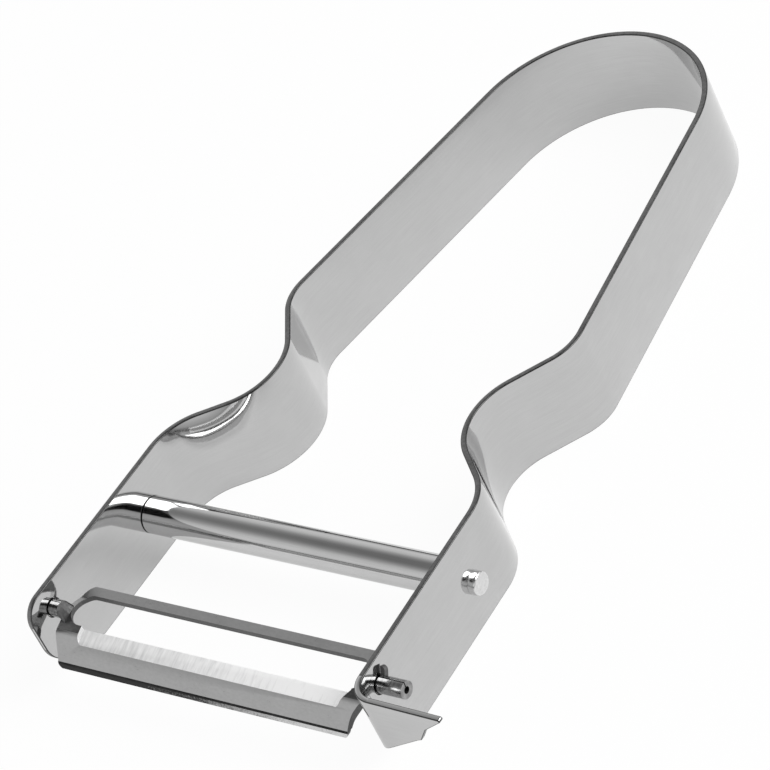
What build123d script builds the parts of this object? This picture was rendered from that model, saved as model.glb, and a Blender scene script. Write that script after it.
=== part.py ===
from build123d import *
import os
from math import asin, atan2, cos, hypot, radians, sin, tan

# Vegetable peeler with a swivelling blade, in millimetres.
# X runs across the handle, Y from the blade to the loop's end, and Z up across the handle's strip.
# While the pieces are drawn, Y is a station counted from the blade's pivot towards the loop's end.
# The finished pieces are moved so that the origin is on the strip's lower edge at the loop's end.

# Strip that is bent into the handle
strip_width = 12.7
strip_thickness = 0.75

# Plan of the handle, along the middle of the strip
head_half_width = 24.95
head_corner_station = 27.75
head_corner_radius = 8.15
left_arm_lean = -1.25
right_arm_lean = 3.5
waist_half_width = 12.8
waist_station = 38.05
waist_radius = 8.8
shoulder_half_width = 22.5
shoulder_station = 51.5
shoulder_radius = 6.8
loop_radius = 16.55
loop_end_station = 105.0

# Front ends of the arms: both are cut higher from below, and the left one ends with round corners
toe_start_station = 4.0
toe_rise = 3.3
left_arm_reach = 4.4
toe_corner_radius = 4.2
left_top_corner_radius = 2.9

# The right arm bends outwards in front of the pivot and ends as a pointed eye-remover
flange_reach = 4.13
flange_length = 13.95
flange_bend_radius = 3.1
flange_tip_radius = 0.25
flange_edge_shares = ((0.022, 0.27), (0.584, 0.61), (0.631, 0.63), (0.742, 0.80), (1.0, 1.0))

# Crossbar and blade are square to each other's axes and turned a little from the handle's own X
head_turn = 1.0

# Crossbar: a sleeve between the arms, held by a rivet with a formed head at each end
crossbar_station = 19.5
crossbar_height = 5.6
crossbar_radius = 2.42
rivet_shank_radius = 1.1
rivet_head_radius = 1.42
rivet_head_height = 1.0
rivet_head_rounding = 0.3
rivet_clearance = 0.05

# Blade: one pressed sheet, drawn at rest around the pivot axis
pivot_height = 9.55
blade_thickness = 0.65
blade_left_gap = 1.5
blade_right_gap = 1.1
web_drop = 0.825
guard_rear = 4.23
guard_front = 2.77
guard_rise = 0.905
front_bend = 1.65
front_bend_radius = 1.2
front_reach = 4.58
front_drop = 4.25
lip_length = 0.65
lip_lean = 0.15
lip_bend_radius = 0.5
guard_left_corner_radius = 3.8
guard_right_corner_radius = 2.4
lip_corner_radius = 0.8
end_cut_across = 1.7
end_cut_along = 2.4
end_cut_knee_across = 1.5
end_cut_knee_along = 1.0
end_cut_knee_radius = 2.5

# Slot and ground edge of the blade
neck_width = 0.85
slot_rear = 3.1
edge_station = -1.4
edge_drop = 1.2
bevel_width = 2.0
bevel_slope = 26.7
bevel_left_margin = 2.65
bevel_right_margin = 1.3
bevel_end_slant = 1.4
bevel_corner_radius = 0.9

# Rolled pivots of the blade, each with a tongue that keeps it from pulling back through its hole
pivot_radius = 1.1
pivot_bore_radius = 0.45
left_pivot_protrusion = 1.9
right_pivot_protrusion = 3.8
pivot_root = 0.3
pivot_clearance = 0.08
seam_width = 0.15
seam_angle = 82.0
tongue_gap = 0.3
tongue_width = 0.6
tongue_height = 2.3
tongue_rounding = 0.55
tongue_angle = 57.4

overrun = 2.0


def arm_lean(side):
    """Angle from Y at which an arm runs outwards towards its front, in radians."""
    return radians(right_arm_lean if side > 0 else left_arm_lean)


def arm_x(side, station, outward=0.0):
    """X of an arm's middle plane, or of a plane outward of it, at a station."""
    lean = arm_lean(side)
    return side * (head_half_width + (head_corner_station - station) * tan(lean) + outward / cos(lean))


def arm_at(side, station, outward=0.0):
    """Distance along the turned axis that starts at a station, from its middle to an arm's plane."""
    turn = radians(head_turn)
    return arm_x(side, station, outward) / (cos(turn) + side * sin(turn) * tan(arm_lean(side)))


def in_head(station, height):
    """Place of a turned axis: its own X runs along the axis, from the middle of the head."""
    return Pos(0, station, height) * Rot(0, 0, head_turn)


def rod(radius, low, high):
    """Solid rod along X between two places."""
    return Pos((low + high) / 2, 0, 0) * Rot(0, 90, 0) * Cylinder(radius, high - low)


def prism(plane, outline, low, high):
    """Solid over a flat outline, between two distances along the plane's normal."""
    return extrude(plane.offset(low) * outline, amount=high - low)


def bent_sheet(path, width_direction, width, thickness):
    """Sheet of even thickness that follows a flat path, with its width across the path's plane."""
    start = Plane(origin=path @ 0, x_dir=width_direction, z_dir=path % 0)
    return sweep(start * Rectangle(width, thickness), path=path)


def loop_touch(side):
    """Point where the handle's straight side runs into the arc of the loop."""
    centre_station = loop_end_station - loop_radius
    along = centre_station - shoulder_station
    taper = atan2(shoulder_half_width, along) - asin(loop_radius / hypot(shoulder_half_width, along))
    return (side * loop_radius * cos(taper), centre_station + loop_radius * sin(taper))


def handle_side(side, front_points, front_radii):
    """Middle line of one half of the handle, from its front end to the loop."""
    points = front_points + [
        (side * head_half_width, head_corner_station),
        (side * waist_half_width, waist_station),
        (side * shoulder_half_width, shoulder_station),
        loop_touch(side),
    ]
    radii = front_radii + [head_corner_radius, waist_radius, shoulder_radius]
    return FilletPolyline(*points, radius=radii)


def make_handle():
    """Bent strip with its two arms, pivot holes, rivet holes and pointed flange."""
    flange_x = arm_x(1, -flange_reach)
    right = handle_side(
        1,
        [(flange_x + flange_length, -flange_reach), (flange_x, -flange_reach)],
        [flange_bend_radius],
    )
    left = handle_side(-1, [(arm_x(-1, -left_arm_reach), -left_arm_reach)], [])
    loop = ThreePointArc(loop_touch(1), (0, loop_end_station), loop_touch(-1))
    path = Wire(right.edges() + loop.edges() + left.edges())
    strip = Pos(0, 0, strip_width / 2) * bent_sheet(path, (0, 0, 1), strip_width, strip_thickness)

    far = flange_x + flange_length + overrun
    strip -= prism(Plane.YZ, arm_end_waste(-1), -far, 0)
    strip -= prism(Plane.YZ, arm_end_waste(1), 0, far)
    strip -= flange_waste(flange_x)
    strip -= in_head(0, pivot_height) * rod(pivot_radius + pivot_clearance, -far, far)
    rivet_hole = rod(rivet_shank_radius + rivet_clearance, -far, far)
    strip -= in_head(crossbar_station, crossbar_height) * rivet_hole
    return strip


def arm_end_waste(side):
    """Side view of what is cut from an arm's front end, in stations and heights."""
    reach = left_arm_reach if side < 0 else flange_reach
    far = reach + overrun
    corners = [(toe_start_station, 0), (toe_start_station, strip_width)]
    if side < 0:
        corners += [(-reach, strip_width), (-reach, toe_rise)]
    else:
        corners += [(-far, strip_width), (-far, toe_rise), (-reach, toe_rise)]
    kept = make_face(Polyline(*corners, close=True))
    if side < 0:
        low, high = kept.vertices().group_by(Axis.X)[0].sort_by(Axis.Y)
        kept = fillet(low, toe_corner_radius)
        high = kept.vertices().group_by(Axis.Y)[-1].sort_by(Axis.X)[0]
        kept = fillet(high, left_top_corner_radius)
    depth = toe_start_station + far
    height = strip_width + 2 * overrun
    around = Pos(toe_start_station - depth / 2, strip_width / 2) * Rectangle(depth, height)
    return around - kept


def flange_waste(flange_x):
    """Solid around the flange's rising edge and its round tip."""
    edge = [
        (flange_x + along * flange_length, up * strip_width)
        for along, up in flange_edge_shares
    ]
    start_x = edge[0][0]
    tip_x = edge[-1][0]
    kept = make_face(Polyline(*edge, (start_x, strip_width), close=True))
    kept = fillet(kept.vertices().sort_by(Axis.X)[-1], flange_tip_radius)
    width = tip_x - start_x + overrun
    height = strip_width + 2 * overrun
    around = Pos(start_x + width / 2, strip_width / 2) * Rectangle(width, height)
    # Plane.XZ looks towards -Y, so distances along it are stations with the sign turned round
    return prism(Plane.XZ, around - kept, flange_reach - flange_bend_radius, flange_reach + overrun)


def make_sleeve():
    """Crossbar sleeve, cut to sit flat on the inner faces of both arms."""
    far = crossbar_radius + overrun
    stations = (crossbar_station - far, crossbar_station + far)
    inside = -strip_thickness / 2
    corners = [(arm_x(-1, station, inside), station) for station in stations]
    corners += [(arm_x(1, station, inside), station) for station in reversed(stations)]
    between = prism(Plane.XY, make_face(Polyline(*corners, close=True)), -overrun, strip_width)
    half = head_half_width + overrun
    sleeve = rod(crossbar_radius, -half, half) - rod(rivet_shank_radius + rivet_clearance, -half, half)
    return in_head(crossbar_station, crossbar_height) * sleeve & between


def make_rivet():
    """Rivet through the sleeve and both arms, with a round head on each arm's outer face."""
    face = strip_thickness / 2
    middle_of_heads = [arm_at(side, crossbar_station, face + rivet_head_height / 2) for side in (-1, 1)]
    rivet = in_head(crossbar_station, crossbar_height) * rod(rivet_shank_radius, *middle_of_heads)
    for side in (-1, 1):
        lean = arm_lean(side)
        along = arm_at(side, crossbar_station, face)
        axis_point = in_head(crossbar_station, crossbar_height) * Pos(along, 0, 0)
        seat = Plane(origin=axis_point.position, z_dir=(side * cos(lean), sin(lean), 0))
        head = Cylinder(rivet_head_radius, rivet_head_height, align=(Align.CENTER, Align.CENTER, Align.MIN))
        head = fillet(head.edges().group_by(Axis.Z)[-1], rivet_head_rounding)
        rivet += seat * head
    return rivet


def blade_ends():
    """X of the blade's left and right end, measured from the middle of the head."""
    inside = -strip_thickness / 2
    return arm_at(-1, 0, inside) + blade_left_gap, arm_at(1, 0, inside) - blade_right_gap


def make_blade():
    """Slotted blade with its ground edge, rolled pivots and tongues, at rest."""
    left, right = blade_ends()
    middle = (left + right) / 2
    length = right - left
    path = FilletPolyline(
        (left, guard_rear, guard_rise - web_drop),
        (left, guard_front, -web_drop),
        (left, -front_bend, -web_drop),
        (left, -front_reach, -front_drop),
        (left, -front_reach - lip_lean, -front_drop - lip_length),
        radius=[front_bend_radius, front_bend_radius, lip_bend_radius],
    )
    sheet = Pos(length / 2, 0, 0) * bent_sheet(path, (1, 0, 0), length, blade_thickness)
    rise = guard_rise + overrun
    drop = front_drop + lip_length + overrun

    # Plan outline: round corners on the guard bar and a hollow cut at the front's right end
    front = -front_reach - lip_lean - overrun
    lip_right = right - end_cut_across
    knee = (right - end_cut_knee_across, end_cut_knee_along - front_reach)
    plan = make_face(Polyline(
        (left, front), (left, guard_rear), (right, guard_rear), (right, end_cut_along - front_reach),
        knee, (lip_right, -front_reach), (lip_right, front), close=True,
    ))
    corners = (
        ((left, guard_rear), guard_left_corner_radius),
        ((right, guard_rear), guard_right_corner_radius),
        (knee, end_cut_knee_radius),
    )
    for corner, radius in corners:
        plan = fillet(plan.vertices().sort_by_distance((*corner, 0))[0], radius)
    blade = sheet & prism(Plane.XY, plan, -drop, rise)

    # Front outline: round corners on the lip
    lip_end = -front_drop - lip_length
    for corner_x, inwards in ((left, lip_corner_radius), (lip_right, -lip_corner_radius)):
        square = Pos(corner_x, lip_end) * Rectangle(2 * lip_corner_radius, 2 * lip_corner_radius)
        rounding = Pos(corner_x + inwards, lip_end + lip_corner_radius) * Circle(lip_corner_radius)
        blade -= prism(Plane.XZ, square - rounding, front_reach - lip_corner_radius, -front)

    # Slot between the guard bar and the cutting edge
    slot_left = left + neck_width
    slot_right = right - neck_width
    slot_width = slot_rear - edge_station
    slot = Pos((slot_left + slot_right) / 2, (slot_rear + edge_station) / 2) * SlotOverall(
        slot_right - slot_left, slot_width
    )
    blade -= prism(Plane.XY, slot, -drop, rise)
    blade -= bevel_waste(slot_left + bevel_left_margin, slot_right - bevel_right_margin, rise)

    for side in (-1, 1):
        blade += rolled_pivot(side, right if side > 0 else left)
    return in_head(0, pivot_height) * blade


def bevel_waste(left, right, rise):
    """Solid above the ground bevel, from the heel on the front band to the edge at the slot."""
    slope = radians(bevel_slope)
    edge = (edge_station, -edge_drop)
    heel = (edge_station - bevel_width * cos(slope), -edge_drop - bevel_width * sin(slope))
    side_view = make_face(Polyline(
        edge, heel, (heel[0], rise), (guard_front, rise), (guard_front, -edge_drop), close=True,
    ))
    top_view = make_face(Polyline(
        (left, heel[0]), (left, guard_front), (right, guard_front), (right, edge_station),
        (right - bevel_end_slant, heel[0]), close=True,
    ))
    top_view = fillet(top_view.vertices().group_by(Axis.Y)[0], bevel_corner_radius)
    drop = front_drop + lip_length + overrun
    return prism(Plane.YZ, side_view, left, right) & prism(Plane.XY, top_view, -drop, rise)


def rolled_pivot(side, web_x):
    """One rolled end of the blade, from its web out through the arm, with its seam and tongue."""
    face = arm_at(side, 0, strip_thickness / 2)
    end = face + side * (right_pivot_protrusion if side > 0 else left_pivot_protrusion)
    past = end + side * overrun
    tube = rod(pivot_radius, *sorted((web_x - side * pivot_root, end)))
    tube -= rod(pivot_bore_radius, *sorted((web_x, past)))
    seam = Rectangle(seam_width, pivot_radius + overrun, align=(Align.CENTER, Align.MIN))
    tube -= prism(Plane.YZ, Rot(0, 0, seam_angle - 90) * seam, *sorted((web_x, past)))

    # Tongue beside the arm: it starts inside the tube's wall, and its outer top corner is round
    near = face + side * tongue_gap
    foot = (pivot_radius + pivot_bore_radius) / 2
    height = tongue_height - foot
    tongue = Pos(near + side * tongue_width / 2, foot + height / 2) * Rectangle(tongue_width, height)
    top_corners = tongue.vertices().group_by(Axis.Y)[-1].sort_by(Axis.X)
    tongue = fillet(top_corners[-1] if side > 0 else top_corners[0], tongue_rounding)
    tongue = extrude(Plane.XZ * tongue, amount=blade_thickness / 2, both=True)
    return tube + Rot(tongue_angle - 90, 0, 0) * tongue


def main():
    """Build every piece, move it to the part's origin and write it."""
    os.makedirs("parts", exist_ok=True)
    pieces = {
        "handle_strap": make_handle(),
        "crossbar_sleeve": make_sleeve(),
        "crossbar_rivet": make_rivet(),
        "swivel_blade": make_blade(),
    }
    to_origin = Pos(0, -loop_end_station, 0)
    for name, piece in pieces.items():
        placed = to_origin * piece
        export_step(placed, f"parts/{name}.step")
        box = placed.bounding_box()
        print(name, "solids", len(placed.solids()), "volume", round(placed.volume, 2), box.min, box.max)
    print("blade axis passes y", -loop_end_station, "z", pivot_height, "turned by", head_turn, "degrees")


main()
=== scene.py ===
"""Vegetable peeler with a swivelling blade, modelled and dressed in the frame of its solids.

Sizes are in millimetres where they are named, and turned to metres where a mesh is made. X runs across the
handle, Y from the blade to the loop's end, and Z up across the handle's strip. A station is a distance from
the blade's pivot towards the loop's end. A facing is the share of one axis in a face's normal.
"""

import logging
import math
from collections.abc import Callable, Sequence
from dataclasses import dataclass, field
from enum import Enum

import bmesh
import bpy
from mathutils import Matrix, Vector


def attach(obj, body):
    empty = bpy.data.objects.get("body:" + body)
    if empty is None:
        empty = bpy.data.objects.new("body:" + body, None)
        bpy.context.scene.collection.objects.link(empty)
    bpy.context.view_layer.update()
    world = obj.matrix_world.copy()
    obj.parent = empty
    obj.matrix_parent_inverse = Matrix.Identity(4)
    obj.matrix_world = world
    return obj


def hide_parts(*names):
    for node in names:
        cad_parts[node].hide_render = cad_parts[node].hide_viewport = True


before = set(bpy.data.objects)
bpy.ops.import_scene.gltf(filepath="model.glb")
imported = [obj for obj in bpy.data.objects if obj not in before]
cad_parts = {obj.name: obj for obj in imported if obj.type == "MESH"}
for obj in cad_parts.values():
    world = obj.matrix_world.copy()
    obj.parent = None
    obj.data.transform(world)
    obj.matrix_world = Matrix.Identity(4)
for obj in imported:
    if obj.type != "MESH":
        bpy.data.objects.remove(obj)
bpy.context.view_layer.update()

MM = 0.001
LOOP_END = 105.0
HEAD_TURN = math.radians(1.0)
MERGE = 0.001 * MM
LEAST_BEND_STEPS = 4
LEAST_ARC_STEPS = 2

logging.basicConfig(level=logging.INFO, format="%(message)s")
log = logging.getLogger("peeler")


class Side(Enum):
    """Side of the handle, as the sign of its X."""

    LEFT = -1
    RIGHT = 1


class Carve(Enum):
    """What a cutting tool does to a piece."""

    CUT = "DIFFERENCE"
    KEEP = "INTERSECT"
    WELD = "UNION"


# Colours and nodes


def linear(hex_colour: str) -> tuple[float, float, float, float]:
    """Turn an sRGB hex colour into Blender's linear one.

    Args:
        hex_colour: Six hex digits.

    Returns:
        Red, green, blue and a full alpha.
    """
    shares = [int(hex_colour[i : i + 2], 16) / 255 for i in (0, 2, 4)]
    curve = [c / 12.92 if c <= 0.04045 else ((c + 0.055) / 1.055) ** 2.4 for c in shares]
    return (curve[0], curve[1], curve[2], 1.0)


def add_node(
    tree: bpy.types.NodeTree,
    kind: str,
    settings: dict[str, object] | None = None,
    inputs: dict[str, object] | None = None,
) -> bpy.types.Node:
    """Add one node to a tree.

    Args:
        tree: Node tree that gets the node.
        kind: Blender's name of the node type.
        settings: Properties of the node itself.
        inputs: Value of each named input, or the output socket that feeds it.

    Returns:
        The new node.
    """
    node = tree.nodes.new(kind)
    for name, value in (settings or {}).items():
        setattr(node, name, value)
    for name, value in (inputs or {}).items():
        socket = node.inputs[int(name)] if name.isdigit() else node.inputs[name]
        if isinstance(value, bpy.types.NodeSocket):
            tree.links.new(value, socket)
        else:
            socket.default_value = value
    return node


def empty_material(name: str) -> bpy.types.Material:
    """Start a material with no nodes in its tree.

    Args:
        name: Name of the material.

    Returns:
        The material.
    """
    material = bpy.data.materials.new(name)
    material.use_nodes = True
    material.node_tree.nodes.clear()
    return material


def stretched_noise(
    tree: bpy.types.NodeTree, place: bpy.types.NodeSocket, size: Vector, detail: float
) -> bpy.types.NodeSocket:
    """Noise whose grains have a real size.

    Args:
        tree: Node tree that gets the nodes.
        place: Socket with the point on the piece, in metres.
        size: Grain size along X, Y and Z in millimetres.
        detail: Octaves of finer noise.

    Returns:
        Socket with the noise, from 0 to 1.
    """
    scale = [1.0 / (length * MM) for length in size]
    mapping = add_node(tree, "ShaderNodeMapping", None, {"Vector": place, "Scale": scale})
    noise = add_node(
        tree,
        "ShaderNodeTexNoise",
        {"noise_dimensions": "3D"},
        {"Vector": mapping.outputs["Vector"], "Scale": 1.0, "Detail": detail, "Roughness": 0.6},
    )
    return noise.outputs["Fac"]


@dataclass(frozen=True)
class SteelFinish:
    """One finish of stainless steel: its colour, gloss, and the marks that its making left.

    Args:
        name: Name of the material.
        pale: Colour of the steel's bright grains.
        dark: Colour of its duller grains.
        roughness: Lowest and highest roughness.
        grain: Size of the fine marks along X, Y and Z, in millimetres.
        depth: Height of the fine marks in millimetres.
        wave: Height of the wide unevenness in millimetres.
        wave_size: Width of the wide unevenness in millimetres.
        edge_fall: How far a strip's face falls off at its edges in millimetres, 0 where it stays flat.
        edge_zone: Width of that fall in millimetres.
        edge_to_edge: Width of the strip in millimetres.
        metal: Share of bare metal, less where fine scratches scatter the light like paint.
        fade: X in millimetres where the bright grains begin, and where they are in full, equal for no fade.
        curl: How far the upper edge curls out of the face beside a tight bend, in millimetres.
        curl_place: X and station of that bend, in millimetres.
        curl_reach: How far from the bend the curl reaches, in millimetres.
        marks_share: Share of the fine marks in the colour and gloss, the rest being the wide unevenness.
        noise_range: Range that the noise mostly keeps to, which is drawn out to full contrast.
    """

    name: str
    pale: str
    dark: str
    roughness: tuple[float, float]
    grain: tuple[float, float, float]
    depth: float
    wave: float = 0.0
    wave_size: float = 6.0
    edge_fall: float = 0.0
    edge_zone: float = 2.5
    edge_to_edge: float = 12.7
    metal: float = 1.0
    fade: tuple[float, float] = (0.0, 0.0)
    curl: float = 0.0
    curl_place: tuple[float, float] = (0.0, 0.0)
    curl_reach: float = 10.0
    marks_share: float = 0.6
    noise_range: tuple[float, float] = (0.3, 0.7)

    def fall_at_edges(self, tree: bpy.types.NodeTree, place: bpy.types.NodeSocket) -> bpy.types.NodeSocket:
        """Height of a strip's face across its width: flat, and falling off towards both edges.

        Args:
            tree: Node tree that gets the nodes.
            place: Socket with the point on the piece, in metres.

        Returns:
            Socket with the height, from 0 on the flat to -1 at the edges.
        """
        half = self.edge_to_edge / 2 * MM
        height = add_node(tree, "ShaderNodeSeparateXYZ", None, {"Vector": place}).outputs["Z"]
        off_middle = add_node(tree, "ShaderNodeMath", {"operation": "SUBTRACT"}, {"0": height, "1": half})
        distance = add_node(tree, "ShaderNodeMath", {"operation": "ABSOLUTE"}, {"0": off_middle.outputs[0]})
        flat = half - self.edge_zone * MM
        span = {"Value": distance.outputs[0], "From Min": flat, "From Max": half}
        zone = add_node(tree, "ShaderNodeMapRange", None, span)
        fall = add_node(tree, "ShaderNodeMath", {"operation": "POWER"}, {"0": zone.outputs[0], "1": 2.0})
        turned = {"0": fall.outputs[0], "1": -1.0}
        return add_node(tree, "ShaderNodeMath", {"operation": "MULTIPLY"}, turned).outputs[0]

    def curl_at_bend(self, tree: bpy.types.NodeTree, place: bpy.types.NodeSocket) -> bpy.types.NodeSocket:
        """Height of the face beside a tight bend, where bending a wide strip curls its upper edge.

        Args:
            tree: Node tree that gets the nodes.
            place: Socket with the point on the piece, in metres.

        Returns:
            Socket with the height, from 0 to -1 at the upper edge beside the bend.
        """
        centre = place_of(*self.curl_place, 0.0)
        level = add_node(
            tree, "ShaderNodeVectorMath", {"operation": "MULTIPLY"}, {"0": place, "1": (1.0, 1.0, 0.0)}
        )
        ends = {"0": level.outputs["Vector"], "1": centre}
        away = add_node(tree, "ShaderNodeVectorMath", {"operation": "DISTANCE"}, ends)
        near = add_node(
            tree,
            "ShaderNodeMapRange",
            {"interpolation_type": "SMOOTHSTEP"},
            {"Value": away.outputs["Value"], "From Min": self.curl_reach * MM, "From Max": 0.0},
        )
        half = self.edge_to_edge / 2 * MM
        height = add_node(tree, "ShaderNodeSeparateXYZ", None, {"Vector": place}).outputs["Z"]
        span = {"Value": height, "From Min": half, "From Max": 2 * half}
        share = add_node(tree, "ShaderNodeMapRange", None, span)
        bowed = add_node(tree, "ShaderNodeMath", {"operation": "POWER"}, {"0": share.outputs[0], "1": 2.0})
        curl = add_node(
            tree, "ShaderNodeMath", {"operation": "MULTIPLY"}, {"0": bowed.outputs[0], "1": near.outputs[0]}
        )
        turned = {"0": curl.outputs[0], "1": -1.0}
        return add_node(tree, "ShaderNodeMath", {"operation": "MULTIPLY"}, turned).outputs[0]

    def fade_along(
        self, tree: bpy.types.NodeTree, place: bpy.types.NodeSocket, share: bpy.types.NodeSocket
    ) -> bpy.types.NodeSocket:
        """Let the bright grains come in along the piece.

        Args:
            tree: Node tree that gets the nodes.
            place: Socket with the point on the piece, in metres.
            share: Socket with the share of bright grains.

        Returns:
            Socket with the share, less where the grains have yet to come in.
        """
        across = add_node(tree, "ShaderNodeSeparateXYZ", None, {"Vector": place}).outputs["X"]
        span = {"Value": across, "From Min": self.fade[0] * MM, "From Max": self.fade[1] * MM}
        ramp = add_node(tree, "ShaderNodeMapRange", None, span)
        raised = {"0": ramp.outputs[0], "1": 2.0, "2": share}
        shifted = add_node(tree, "ShaderNodeMath", {"operation": "MULTIPLY_ADD"}, raised)
        lowered = {"0": shifted.outputs[0], "1": 1.0}
        faded = add_node(tree, "ShaderNodeMath", {"operation": "SUBTRACT", "use_clamp": True}, lowered)
        return faded.outputs[0]

    def make(self) -> bpy.types.Material:
        """Build the material.

        Returns:
            The new material.
        """
        material = empty_material(self.name)
        tree = material.node_tree
        place = add_node(tree, "ShaderNodeTexCoord").outputs["Object"]
        marks = stretched_noise(tree, place, Vector(self.grain), 3.0)
        smear = stretched_noise(tree, place, Vector((self.wave_size,) * 3), 2.0)

        both = {"0": self.marks_share, "2": smear, "3": marks}
        mixed = add_node(tree, "ShaderNodeMix", None, both).outputs[0]
        low, high = self.noise_range
        bright, gloss = (
            add_node(
                tree,
                "ShaderNodeMapRange",
                None,
                {"Value": mixed, "From Min": low, "From Max": high, "To Min": first, "To Max": last},
            ).outputs["Result"]
            for first, last in ((0.0, 1.0), self.roughness)
        )
        if self.fade[0] != self.fade[1]:
            bright = self.fade_along(tree, place, bright)
        colour = add_node(
            tree,
            "ShaderNodeMix",
            {"data_type": "RGBA"},
            {"Factor": bright, "6": linear(self.dark), "7": linear(self.pale)},
        )
        reliefs = [(marks, self.depth), (smear, self.wave)]
        if self.edge_fall:
            reliefs.append((self.fall_at_edges(tree, place), self.edge_fall))
        if self.curl:
            reliefs.append((self.curl_at_bend(tree, place), self.curl))
        below: dict[str, bpy.types.NodeSocket] = {}
        for height, rise in reliefs:
            relief = {"Height": height, "Distance": rise * MM, "Strength": 1.0, **below}
            below = {"Normal": add_node(tree, "ShaderNodeBump", None, relief).outputs["Normal"]}
        shader = add_node(
            tree,
            "ShaderNodeBsdfPrincipled",
            None,
            {"Base Color": colour.outputs[2], "Metallic": self.metal, "Roughness": gloss, **below},
        )
        add_node(tree, "ShaderNodeOutputMaterial", None, {"Surface": shader.outputs["BSDF"]})
        return material


# Grain sizes start from real marks. Polishing and grinding lines are really 0.01 to 0.05 mm wide, too fine
# to show, so they are drawn 0.1 mm wide and more, as coarse as they need to be.

# Stainless strip, rolled bright and polished along its length: a soft mirror with faint long lines. It turns
# reflections where its edges fall off and where the left head bend curled its upper edge
POLISHED_STRIP = SteelFinish(
    "stainless_strip_polished", "C6C6C6", "BEBEBE", (0.05, 0.09), (4.0, 4.0, 0.12), 0.00002, 0.0012, 7.0,
    edge_fall=0.12, curl=1.25, curl_place=(-21.0, 30.0),
)
# The same strip where the shear cut it: a dull mid grey, slightly torn
SHEARED_EDGE = SteelFinish(
    "stainless_sheared_edge", "929292", "646464", (0.28, 0.42), (0.5, 0.5, 0.1), 0.004
)
# Painted shade on the broken edges along both borders of that cut: darker lines that stand for the dark
# reflections in the rounded edges
BROKEN_EDGE_SHADE = SteelFinish(
    "stainless_broken_edge_shade", "5C5C5C", "3A3A3A", (0.22, 0.34), (0.8, 0.8, 0.3), 0.002
)
# Drawn and polished bar: as bright a mirror as the strip, with faint lines along it
POLISHED_BAR = SteelFinish(
    "stainless_bar_polished", "CECECE", "C4C4C4", (0.05, 0.10), (6.0, 0.1, 0.1), 0.00002
)
# Headed rivet, barrel-polished: a paler, softer shine
RIVET_STEEL = SteelFinish(
    "stainless_rivet_tumbled", "E8E8E8", "CFCFCF", (0.16, 0.26), (0.3, 0.3, 0.3), 0.0004
)
# Pressed blade sheet, left satin by the press and hardening: an even darker grey
SATIN_BLADE = SteelFinish(
    "blade_steel_satin", "BCBCBC", "ACACAC", (0.26, 0.34), (0.6, 0.3, 0.3), 0.0001
)
# Ground bevel: nearly white, because its fine grinding marks, which run across it, scatter the light. Its
# fade is a painted shade: darker towards its left end, where less light falls
GROUND_BEVEL = SteelFinish(
    "blade_steel_ground", "FFFFFF", "CECECE", (0.50, 0.68), (0.45, 3.0, 3.0), 0.004, metal=0.05,
    fade=(-60.0, 35.0),
)
# Front face of the turned lip: darker at its left end, with bright speckles coming in towards the right
ROUGH_LIP = SteelFinish(
    "blade_lip_tumbled", "DADADA", "303030", (0.35, 0.55), (0.25, 0.25, 0.25), 0.012, fade=(-16.0, 32.0)
)
# Crease above the lip, painted nearly black as the shade that falls in it
LIP_CREASE_SHADE = SteelFinish(
    "blade_crease_painted_shade", "3A3A3A", "1C1C1C", (0.30, 0.45), (1.2, 0.2, 0.2), 0.002
)
# Punched edges of the blade and of its slot: a dull mid grey
PUNCHED_EDGE = SteelFinish(
    "blade_edge_punched", "707070", "484848", (0.35, 0.50), (0.12, 0.12, 0.4), 0.003
)
# Ends of the blade beside its slot, and the necks of its pivots: a painted shade, darker grey where the web
# tilts and twists away from the light
BLADE_NECK_SHADE = SteelFinish(
    "blade_neck_painted_shade", "767676", "565656", (0.32, 0.46), (0.4, 0.3, 0.3), 0.001
)
# Rolled pivots: burnished by the rolling tool, with darker streaks round them
ROLLED_PIVOT = SteelFinish(
    "blade_pivot_rolled", "B4B4B4", "6E6E6E", (0.14, 0.24), (0.25, 0.8, 0.8), 0.002
)
# Painted shade in the joint between the sleeve and the arm, and in the sleeve's bore: near black, where
# shade falls in the gap
JOINT_SHADE = SteelFinish(
    "joint_painted_shade", "1C1C1C", "101010", (0.5, 0.6), (0.2, 0.2, 0.2), 0.002
)


# Work on meshes, as by hand


def take(piece: bpy.types.Object) -> None:
    """Select one piece alone and make it the active one.

    Args:
        piece: Piece that the next operators work on.
    """
    bpy.ops.object.select_all(action="DESELECT")
    piece.select_set(True)
    bpy.context.view_layer.objects.active = piece


def place_of(x: float, station: float, height: float) -> Vector:
    """Point in metres from an X, a station and a height in millimetres."""
    return Vector((x, station - LOOP_END, height)) * MM


def settle(piece: bpy.types.Object) -> None:
    """Put a piece's place, turn and scale into its mesh."""
    take(piece)
    bpy.ops.object.transform_apply(location=True, rotation=True, scale=True)


def paint_faces(
    piece: bpy.types.Object, material: bpy.types.Material, wanted: Callable[[bpy.types.MeshPolygon], bool]
) -> None:
    """Give a material to the faces that a test picks.

    Args:
        piece: Piece to paint.
        material: Material that the faces get.
        wanted: Test of one face.
    """
    if material.name not in piece.data.materials:
        piece.data.materials.append(material)
    index = piece.data.materials.find(material.name)
    for polygon in piece.data.polygons:
        if wanted(polygon):
            polygon.material_index = index


@dataclass(frozen=True)
class Bend:
    """Round bend between two straight runs.

    Args:
        start: Where the bend starts.
        end: Where it ends.
        centre: Centre of its arc.
        axis: Axis that it turns about.
        angle: How far it turns, in radians.
    """

    start: Vector
    end: Vector
    centre: Vector
    axis: Vector
    angle: float


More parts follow.
